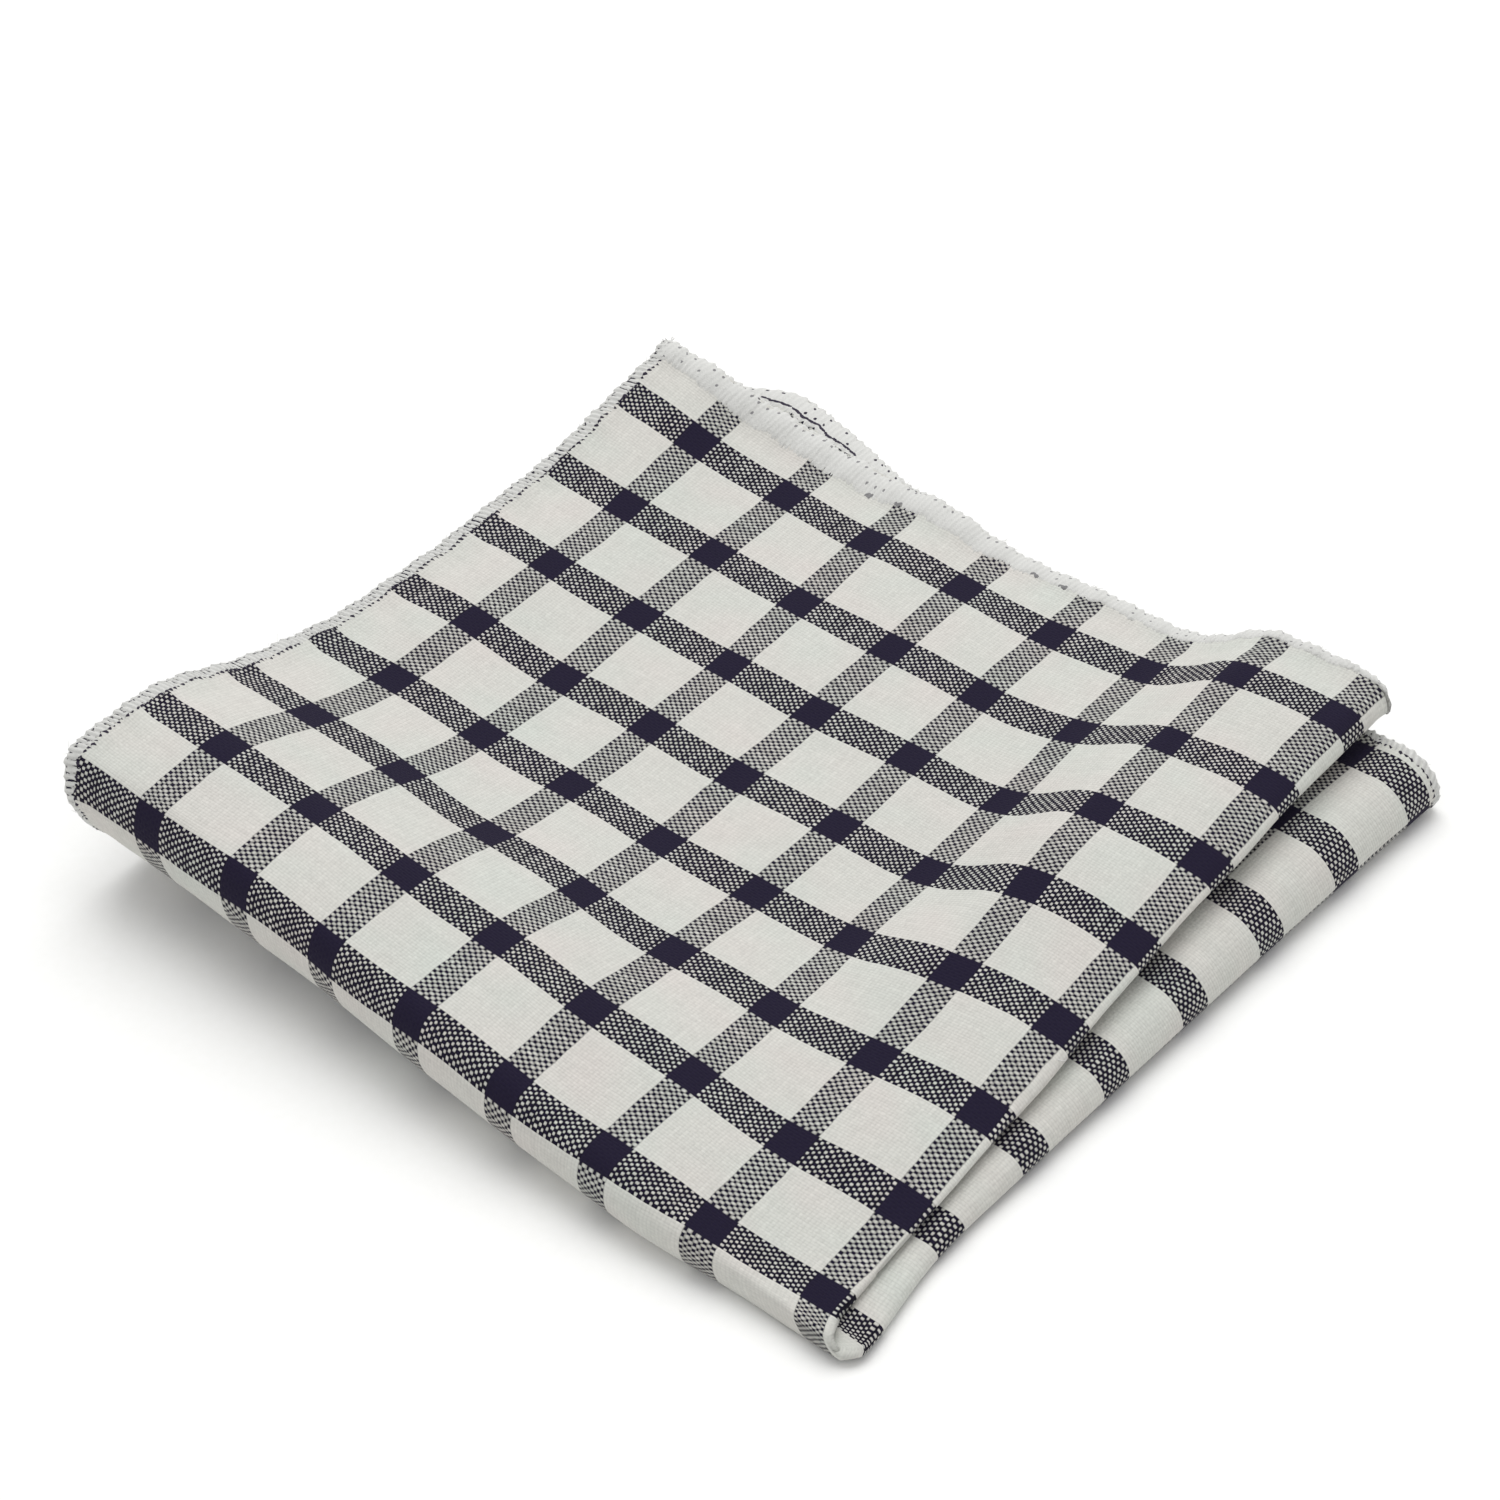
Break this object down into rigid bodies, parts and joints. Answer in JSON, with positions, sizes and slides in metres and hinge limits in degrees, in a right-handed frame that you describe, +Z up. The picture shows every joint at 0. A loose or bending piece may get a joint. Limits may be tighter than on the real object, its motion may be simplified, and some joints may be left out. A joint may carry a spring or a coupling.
{
  "type": "pocket square",
  "caption": "Folded pocket square of cream woven cloth with a navy windowpane check, lying flat with soft rounded folds and overlocked hems.",
  "frame": {"origin": "middle of the bounding box at the resting surface", "axes": "+X along the outer fold towards the corner where both folds meet, +Y from the outer fold to the loose hems, +Z up"},
  "size_m": [0.1216, 0.1182, 0.0204],
  "materials": {
    "cloth": "matte plain weave, cream with navy check"
  },
  "bodies": {
    "root": {"pocket_square": "cloth"}
  },
  "joints": []
}
